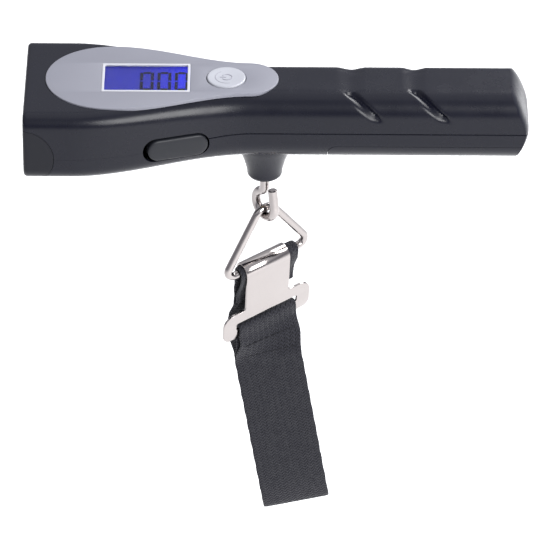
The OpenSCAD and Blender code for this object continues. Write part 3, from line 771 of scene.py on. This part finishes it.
def cut_upper(upper):
    """Openings in the top: the plate's recess, the window and the power button."""
    low, high = 5, TOP_Z + 5
    recess = prism("recess", plate_outline(PLATE_GAP), TOP_Z - PLATE_T, high)
    combine(upper, recess, "DIFFERENCE")
    window = rounded_box(WINDOW_L + 3, WINDOW_W + 2.4, 0.5, x=WINDOW_X)
    combine(upper, prism("window_cut", window, low, high), "DIFFERENCE")
    key = circle(POWER_R + 0.3, x=POWER_X)
    combine(upper, prism("key_cut", key, low, high), "DIFFERENCE")


def make_bezel():
    bezel = full_solid("torch_bezel_cap", BEZEL_END)
    combine(bezel, barrel(BARREL_R), "INTERSECT")
    place = Matrix.Translation((HEAD_X - 2, 0, TORCH[1])) @ Matrix.Rotation(math.pi / 2, 4, "Y")
    bore = prism("bore", circle(LENS_R + 0.3, steps=96), 0, 12, place)
    combine(bezel, bore, "DIFFERENCE")
    return bezel


def make_case():
    upper = half_shell("upper_case_shell", True)
    lower = half_shell("lower_case_shell", False)
    combine(lower, make_neck(), "UNION")
    cover = link_new("battery_cover_shell", lower.data.copy())
    combine(lower, cover_block(0.0), "DIFFERENCE")
    combine(cover, cover_block(COVER_GAP), "INTERSECT")
    cut_upper(upper)
    pocket = stadium(BUTTON_L + 2.4, BUTTON_H + 1.3, x=-0.6)
    for shell in (upper, lower):
        combine(shell, prism("pocket", pocket, -9, 6, side_frame), "DIFFERENCE")
        combine(shell, barrel(BARREL_R + BARREL_GAP), "DIFFERENCE")
    bezel = make_bezel()
    for piece, node, body, slot in (
            (upper, "upper_case", "casing", "case_black"),
            (lower, "lower_case", "casing", "case_black"),
            (cover, "battery_cover", "battery_cover", "case_black"),
            (bezel, "torch_bezel", "casing", "bezel_black")):
        dress(piece, slot)
        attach(piece, body)
        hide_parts(node)


# ---------------------------------------------------------------- display side


def flat_at(z):
    return Matrix.Translation((0, 0, z))


def make_face():
    plate = rounded_plate(
        "face_plate",
        [plate_outline(),
         rounded_box(WINDOW_L + 2, WINDOW_W + 2, 0.5, x=WINDOW_X)[::-1],
         circle(POWER_R + PLATE_GAP, x=POWER_X)[::-1]],
        PLATE_T, 0.22, flat_at(TOP_Z - PLATE_T / 2))
    dress(plate, "plate_grey", sharp=50)
    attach(plate, "casing")
    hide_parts("faceplate")
    rim = rounded_plate(
        "window_rim",
        [rounded_box(WINDOW_L + 1.9, WINDOW_W + 1.9, 0.45, x=WINDOW_X),
         rounded_box(WINDOW_L, WINDOW_W, 0.3, x=WINDOW_X)[::-1]],
        1.1, 0.12, flat_at(TOP_Z - 0.47))
    dress(rim, "white_plastic", "rim_white", sharp=50)
    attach(rim, "casing")
    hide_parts("display_frame")


def arc_points(r, start, stop, centre, z, steps=40):
    return [(centre[0] + r * math.cos(math.radians(a)), centre[1] + r * math.sin(math.radians(a)),
             z) for a in np.linspace(start, stop, steps)]


POWER_TOP, POWER_EDGE, POWER_DISH = TOP_Z + 0.5, 0.45, 0.25
SYMBOL_Z, SYMBOL_R, SYMBOL_SIDES = POWER_TOP - 0.2, 0.16, 10


def make_power_button():
    under = TOP_Z - PLATE_T - 0.6
    profile = [(0, under), (POWER_R, under), (POWER_R, POWER_TOP - POWER_EDGE)]
    for a in range(15, 91, 15):
        a = math.radians(a)
        profile.append((POWER_R - POWER_EDGE + POWER_EDGE * math.cos(a),
                        POWER_TOP - POWER_EDGE + POWER_EDGE * math.sin(a)))
    profile += [(r, POWER_TOP - POWER_DISH * (1 - (r / 6) ** 2)) for r in (5.8, 4.5, 3, 1.5, 0)]
    key = lathe("power_key", profile, (POWER_X, 0), steps=96)
    dress(key, "white_plastic")
    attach(key, "power_button")
    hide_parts("power_button")


def make_power_symbol():
    """A broken ring with a bar, and an arc beside it, just proud of the button's dish."""
    centre = (POWER_X + 0.2, 0)
    bar_line = [(POWER_X + x, 0, SYMBOL_Z) for x in (-2.3, -1.2, -0.1)]
    for name, path in (("symbol_ring", arc_points(1.9, 215, 505, centre, SYMBOL_Z)),
                       ("symbol_bar", bar_line),
                       ("symbol_arc", arc_points(4.2, 120, 285, centre, SYMBOL_Z))):
        part = wire(name, path, SYMBOL_R, SYMBOL_SIDES)
        dress(part, "white_plastic", "symbol_grey")
        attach(part, "power_button")


# The torch button's crown: inset and height over the wall of each step
TORCH_CROWN = ((0.0, -2.4), (0.0, 0.15), (0.1, 0.45), (0.35, 0.66), (0.8, 0.78),
               (1.6, 0.86), (2.8, 0.92), (3.9, 0.94))


def make_torch_button():
    rings = []
    for inset, height in TORCH_CROWN:
        outline = stadium(BUTTON_L - 2 * inset, BUTTON_H - 2 * inset)
        rings.append([tuple(side_frame @ Vector((x, y, height))) for x, y in outline])
    key = loft("torch_key", rings, closed_ends=True)
    dress(key, "button_black", sharp=40)
    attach(key, "torch_button")
    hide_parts("torch_button")


# ---------------------------------------------------------------- hook, ring and buckle

HOOK_TURN = math.radians(-50)
EYE_X, EYE_R, BEND_R = 0.4, 5.2, 3.0
EYE_DROP, STEM_UP = 12.5, 8
TIP_ANGLE, TIP_LEN = math.radians(8), 6.9
HOOK_R, RING_R = 1.75, 1.5
RING_BASE, RING_H, RING_TOP_R, RING_BASE_R = 28.0, 27.0, 4.0, 3.0
APEX_FLAT = 1.0
PATH_STEP = 1.2
apex = Vector(joints["ring_swing"]["pos_m"]) / MM
bar = Vector(joints["strap_swing"]["pos_m"]) / MM
bar_side = Vector(joints["strap_swing"]["axis"]).normalized()
ring_up = (apex - bar).normalized()


def make_hook():
    """One wire: the stem, a bend back to the eye, most of a turn and a straight free end."""
    eye_z = NECK.z - EYE_DROP
    stem_z = eye_z + math.sqrt((EYE_R + BEND_R) ** 2 - (EYE_X + BEND_R) ** 2)
    bend = math.acos((EYE_X + BEND_R) / (EYE_R + BEND_R))
    flat = [(0.0, z) for z in np.linspace(NECK.z + STEM_UP, stem_z, 12, endpoint=False)]
    flat += [(-BEND_R + BEND_R * math.cos(-a), stem_z + BEND_R * math.sin(-a))
             for a in np.linspace(0, bend, 14, endpoint=False)]
    flat += [(EYE_X + EYE_R * math.cos(a), eye_z + EYE_R * math.sin(a))
             for a in np.linspace(math.pi - bend, 2 * math.pi + TIP_ANGLE, 60)]
    d, z = flat[-1]
    flat += [(d - TIP_LEN * t * math.sin(TIP_ANGLE), z + TIP_LEN * t * math.cos(TIP_ANGLE))
             for t in np.linspace(0.1, 1, 8)]
    turn = Matrix.Rotation(HOOK_TURN, 3, "Z")
    path = [turn @ Vector((d, 0, z)) + Vector((NECK.x, NECK.y, 0)) for d, z in flat]
    hook = wire("hook_wire", path, HOOK_R, sides=32, tip_round=0.35)
    dress(hook, "nickel", sharp=40)
    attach(hook, "hook")
    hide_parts("hook")


def ring_outline():
    """The bent triangle, with its top at the origin."""
    base, height, top_r, base_r = RING_BASE, RING_H, RING_TOP_R, RING_BASE_R
    rise = height - top_r - base_r
    run = base / 2 - APEX_FLAT / 2
    slope = math.atan(run / rise) - math.asin((top_r - base_r) / math.hypot(run, rise))
    half = [(base / 2 * t, -height) for t in np.linspace(0, 1, 12, endpoint=False)]
    half += [(base / 2 + base_r * math.sin(a), -height + base_r - base_r * math.cos(a))
             for a in np.linspace(0, math.pi / 2 + slope, 22)]
    half += [(APEX_FLAT / 2 + top_r * math.cos(a), -top_r + top_r * math.sin(a))
             for a in np.linspace(slope, math.pi / 2, 16)]
    return half + [(-x, z) for x, z in half[:0:-1]]


def make_ring():
    outline = ring_outline()
    dense = []
    for i, p in enumerate(outline):
        q = outline[(i + 1) % len(outline)]
        steps = max(1, int(math.hypot(q[0] - p[0], q[1] - p[1]) / PATH_STEP))
        dense += [(p[0] + (q[0] - p[0]) * k / steps, p[1] + (q[1] - p[1]) * k / steps)
                  for k in range(steps)]
    path = [apex + bar_side * x + ring_up * z for x, z in dense]
    ring = wire("ring_wire", path, RING_R, sides=28, closed=True)
    dress(ring, "nickel", sharp=60)
    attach(ring, "ring")
    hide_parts("triangle_ring")


WEB_T, SHEET_T = 1.1, 0.9
BUCKLE_B, BUCKLE_SHIFT = 9.6, 1.3
ROLL_R, ROLL_TURN, ROLL_EDGE = RING_R + WEB_T + 0.2, math.radians(178), 0.14
# The ear below the plate on each side: centre and radius of its shoulder and of its corner
EAR_TOP, EAR_TOP_R = (14.3, 23), 5
EAR_TIP, EAR_TIP_R = (15.8, 28), 3.5
SLOT_L, SLOT_W, SLOT_AT = 27, 3.2, 25.1
# Directions in the buckle: down it and out of its back, from the lean of plate and ring
PLATE_LEAN, RING_LEAN = 13.2, 8.4
PLATE_TILT = math.radians(PLATE_LEAN - RING_LEAN)
plate_down = -(Matrix.Rotation(PLATE_TILT, 3, bar_side) @ ring_up)
plate_back = bar_side.cross(plate_down)
FACE_N = -ROLL_R - SHEET_T
strap_mid = bar - bar_side * BUCKLE_SHIFT


def in_plate(u, w, n):
    """A place given across the buckle, down it and behind it."""
    return strap_mid + bar_side * u + plate_down * w + plate_back * n


def make_buckle_face():
    turns = [math.radians(a) for a in range(0, 91, 9)]
    half = [(BUCKLE_B, 0.0), (BUCKLE_B, 17.0), (BUCKLE_B + 0.3, 17.7), (BUCKLE_B + 1, 18.0)]
    half += [(EAR_TOP[0] + EAR_TOP_R * math.sin(a), EAR_TOP[1] - EAR_TOP_R * math.cos(a))
             for a in turns]
    half += [(EAR_TIP[0] + EAR_TIP_R * math.cos(a), EAR_TIP[1] + EAR_TIP_R * math.sin(a))
             for a in turns]
    outline = half + [(-u, w) for u, w in half[::-1]]
    slot = rounded_box(SLOT_L, SLOT_W, 0.7, y=SLOT_AT)
    axes = Matrix((bar_side, plate_down, plate_back)).transposed().to_4x4()
    place = Matrix.Translation(in_plate(0, 0, FACE_N + SHEET_T / 2)) @ axes
    return rounded_plate("buckle_face", [outline, slot[::-1]], SHEET_T, 0.16, place)


def make_buckle_roll():
    """The sheet's top edge, rolled over the webbing on the ring's bar."""
    b, edge, inner, outer = BUCKLE_B, ROLL_EDGE, ROLL_R, ROLL_R + SHEET_T
    section = ((-b, inner + edge), (-b + edge, inner), (b - edge, inner), (b, inner + edge),
               (b, outer - edge), (b - edge, outer), (-b + edge, outer), (-b, outer - edge))
    start = -math.pi / 2
    rings = [[tuple(in_plate(u, r * math.cos(a), r * math.sin(a))) for u, r in section]
             for a in np.linspace(start, start - ROLL_TURN, 60)]
    return loft("buckle_roll", rings, closed_ends=True)


def make_buckle():
    for piece in (make_buckle_face(), make_buckle_roll()):
        dress(piece, "nickel", sharp=50)
        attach(piece, "strap")
        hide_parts("buckle_plate")


# ---------------------------------------------------------------- webbing

WEB_W = 25.4
WEB_SHIFT, SHIFT_END = 1.4, (18, 6)
# Between these distances from the bar the webbing turns from the plate's plane to the loop's
BEND = (31.5, 47.0)
loop_down = Vector((0.163, 0, -0.9866))
loop_side = Vector((0.982, 0.099, 0.162))
STRAP_DROP = 116.0


def web_blend(w):
    """0 in the plate's plane, 1 in the hanging loop's."""
    return smooth((w - BEND[0]) / (BEND[1] - BEND[0]))


def web_mid(w):
    """The strap's middle, at a distance down from the bar."""
    shift = WEB_SHIFT * (1 - smooth((w - SHIFT_END[0]) / SHIFT_END[1]))
    bend_at = strap_mid + bar_side * shift + plate_down * min(w, BEND[0])
    return bend_at + loop_down * max(0, w - BEND[0])


def web_side(w):
    """The direction across the webbing."""
    return (bar_side * (1 - web_blend(w)) + loop_side * web_blend(w)).normalized()


def web_back(w):
    """The direction out of the strap's back."""
    down = (plate_down * (1 - web_blend(w)) + loop_down * web_blend(w)).normalized()
    return web_side(w).cross(down).normalized()


WRAP_R = RING_R + 0.12 + WEB_T / 2
# The route of the webbing's middle: distance down from the bar, distance behind it
WEB_ROUTE = [(17, 0.45), (13, 0.3), (9, -0.5), (4.5, -1.75)]
WEB_ROUTE += [(-WRAP_R * math.cos(math.radians(a)), WRAP_R * math.sin(math.radians(a)))
              for a in range(-90, 91, 30)]
WEB_ROUTE += [(5, 2.2), (11, 2), (17, 1.95), (24, 2.6), (32, 4.2), (42, 5), (56, 5.4),
              (70, 5.4), (84, 5.3), (95, 5), (103, 4.2), (110, 3), (114.5, 1.7),
              (STRAP_DROP, 0), (114.8, -2.2), (110, -3.6), (103, -4.6), (95, -5.1),
              (84, -5.4), (70, -5.5), (56, -5.5),
              (45, -5.4), (37, -5.2), (31, -4.75), (27.2, -4.5), (26, -4.1), (25.65, -3.3),
              (26, -2.35), (27.4, -2.05), (32.5, -1.7), (39, -3.5), (45, -4.05)]


def catmull(points, spacing):
    """A smooth dense route through the points."""
    dense = []
    for i in range(len(points) - 1):
        p0, p1 = points[max(0, i - 1)], points[i]
        p2, p3 = points[i + 1], points[min(len(points) - 1, i + 2)]
        steps = max(2, int(math.hypot(p2[0] - p1[0], p2[1] - p1[1]) / spacing))
        for k in range(steps):
            t = k / steps
            dense.append(tuple(
                0.5 * (2 * b + (c - a) * t + (2 * a - 5 * b + 4 * c - d) * t * t
                       + (3 * b - a - 3 * c + d) * t ** 3)
                for a, b, c, d in zip(p0, p1, p2, p3)))
    dense.append(points[-1])
    return dense


ACROSS = 36
SCALLOP, SCALLOP_STEP = 0.16, 1.15
RUMPLE, RUMPLE_LEAST, RUMPLE_FADES = 0.22, 0.07, (30, 20)


def web_point(w, n, share, lift, along):
    """A point of the ribbon: share runs from -1 to 1 across it, lift is half its thickness."""
    side, back = web_side(w), web_back(w)
    edge = 1 - SCALLOP / (WEB_W / 2) * (0.5 + 0.5 * math.sin(along / SCALLOP_STEP))
    place = web_mid(w) + back * n + side * share * WEB_W / 2 * edge
    amount = RUMPLE * smooth((RUMPLE_FADES[0] - w) / RUMPLE_FADES[1]) + RUMPLE_LEAST
    wave = noise.noise(place * 0.22) + 0.6 * noise.noise(place * 0.6 + Vector((7, 3, 1)))
    return place + lift + back * wave * amount * (0.4 + 0.6 * abs(share))


def web_rings(route, centres, lengths):
    """The ribbon's cross-sections: one face from edge to edge, then the other back again."""
    rings = []
    for i, (w, n) in enumerate(route):
        ahead = centres[min(i + 1, len(centres) - 1)] - centres[max(i - 1, 0)]
        up = web_side(w).cross(ahead).normalized()
        ring = []
        for face in (-1, 1):
            for k in range(ACROSS + 1):
                share = face * (2 * k / ACROSS - 1)
                thin = 0.55 + 0.45 * math.sqrt(max(0.0, 1 - abs(share) ** 14))
                lift = up * face * WEB_T / 2 * thin
                ring.append(tuple(web_point(w, n, share, lift, lengths[i])))
        rings.append(ring)
    return rings


def web_mesh(rings, lengths):
    """Joins the cross-sections, with UVs that measure the webbing in metres."""
    n = len(rings[0])
    points = [p for ring in rings for p in ring]
    faces, uvs = [], []

    def uv_at(j, i):
        face, k = divmod(j, ACROSS + 1)
        return (1 if face else -1) * (k / ACROSS - 0.5) * WEB_W * MM, lengths[i] * MM

    for i in range(len(rings) - 1):
        for j in range(n):
            q = (j + 1) % n
            faces.append((i * n + j, i * n + q, (i + 1) * n + q, (i + 1) * n + j))
            uvs.append([uv_at(j, i), uv_at(q, i), uv_at(q, i + 1), uv_at(j, i + 1)])
    for end in (0, len(rings) - 1):
        for k in range(ACROSS):
            corners = (k, k + 1, n - 2 - k, n - 1 - k)
            faces.append(tuple(end * n + j for j in corners))
            uvs.append([uv_at(j, end) for j in corners])
    mesh = bpy.data.meshes.new("webbing_loop")
    mesh.from_pydata([tuple(c * MM for c in p) for p in points], [], faces)
    layer = mesh.uv_layers.new(name="weave")
    for polygon, corners in zip(mesh.polygons, uvs):
        for loop, uv in zip(polygon.loop_indices, corners):
            layer.data[loop].uv = uv
    b = bmesh.new()
    b.from_mesh(mesh)
    bmesh.ops.recalc_face_normals(b, faces=b.faces)
    b.to_mesh(mesh)
    b.free()
    return mesh


def make_webbing():
    route = catmull(WEB_ROUTE, 0.7)
    centres = [web_mid(w) + web_back(w) * n for w, n in route]
    lengths = [0.0]
    for p, q in zip(centres, centres[1:]):
        lengths.append(lengths[-1] + (q - p).length)
    rings = web_rings(route, centres, lengths)
    piece = link_new("webbing_loop", web_mesh(rings, lengths))
    dress(piece, "webbing", sharp=70)
    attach(piece, "strap")
    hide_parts("strap_webbing")


STITCH, STITCH_GAP, THREAD_R, STITCH_RISE = 2.0, 0.7, 0.19, 0.08
# Rows across the webbing: distance down from the bar, and the layer's own distance behind it
STITCH_ROWS = ((9.0, 2.0), (15.5, 2.0), (35.5, -5.3), (43.0, -5.3))
STITCH_FROM, STITCH_TO = -10.4, 8.6


def cross_stitches(w, n):
    """A row of dashes across the webbing, on the outer face of the layer at n."""
    side = 1 if n > 0 else -1
    face, crown = n + side * WEB_T / 2, n + side * (WEB_T / 2 + STITCH_RISE)
    return [[(u, w, face), (u + STITCH / 2, w, crown), (u + STITCH, w, face)]
            for u in np.arange(STITCH_FROM, STITCH_TO, STITCH + STITCH_GAP)]


def down_stitches(u, n):
    """A row of dashes down the webbing, between the first two cross rows."""
    face, crown = n + WEB_T / 2, n + WEB_T / 2 + STITCH_RISE
    return [[(u, w, face), (u, w + STITCH / 2, crown), (u, w + STITCH, face)]
            for w in np.arange(9.2, 14.5, STITCH + STITCH_GAP)]


def make_stitches():
    """Dashes of thread that close both ends of the webbing."""
    dashes = []
    for w, n in STITCH_ROWS[:2]:
        dashes += cross_stitches(w, n)
    for u in (-11.0, 11.0):
        dashes += down_stitches(u, STITCH_ROWS[0][1])
    for w, n in STITCH_ROWS[2:]:
        dashes += cross_stitches(w, n)
    joined = bmesh.new()
    for dash in dashes:
        path = [web_mid(w) + web_back(w) * n + web_side(w) * u for u, w, n in dash]
        part = wire("stitch", path, THREAD_R, sides=8, tip_round=0.1)
        joined.from_mesh(part.data)
        bpy.data.objects.remove(part)
    mesh = bpy.data.meshes.new("box_stitches")
    joined.to_mesh(mesh)
    joined.free()
    stitches = link_new("box_stitches", mesh)
    dress(stitches, "thread")
    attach(stitches, "strap")
    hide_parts("strap_stitching")


# ---------------------------------------------------------------- scene

make_camera()
make_world()
for light in LIGHTS:
    make_light(*light)
make_floor()
dress_cad_nodes()
make_case()
make_face()
make_power_button()
make_power_symbol()
make_torch_button()
make_hook()
make_ring()
make_buckle()
make_webbing()
make_stitches()
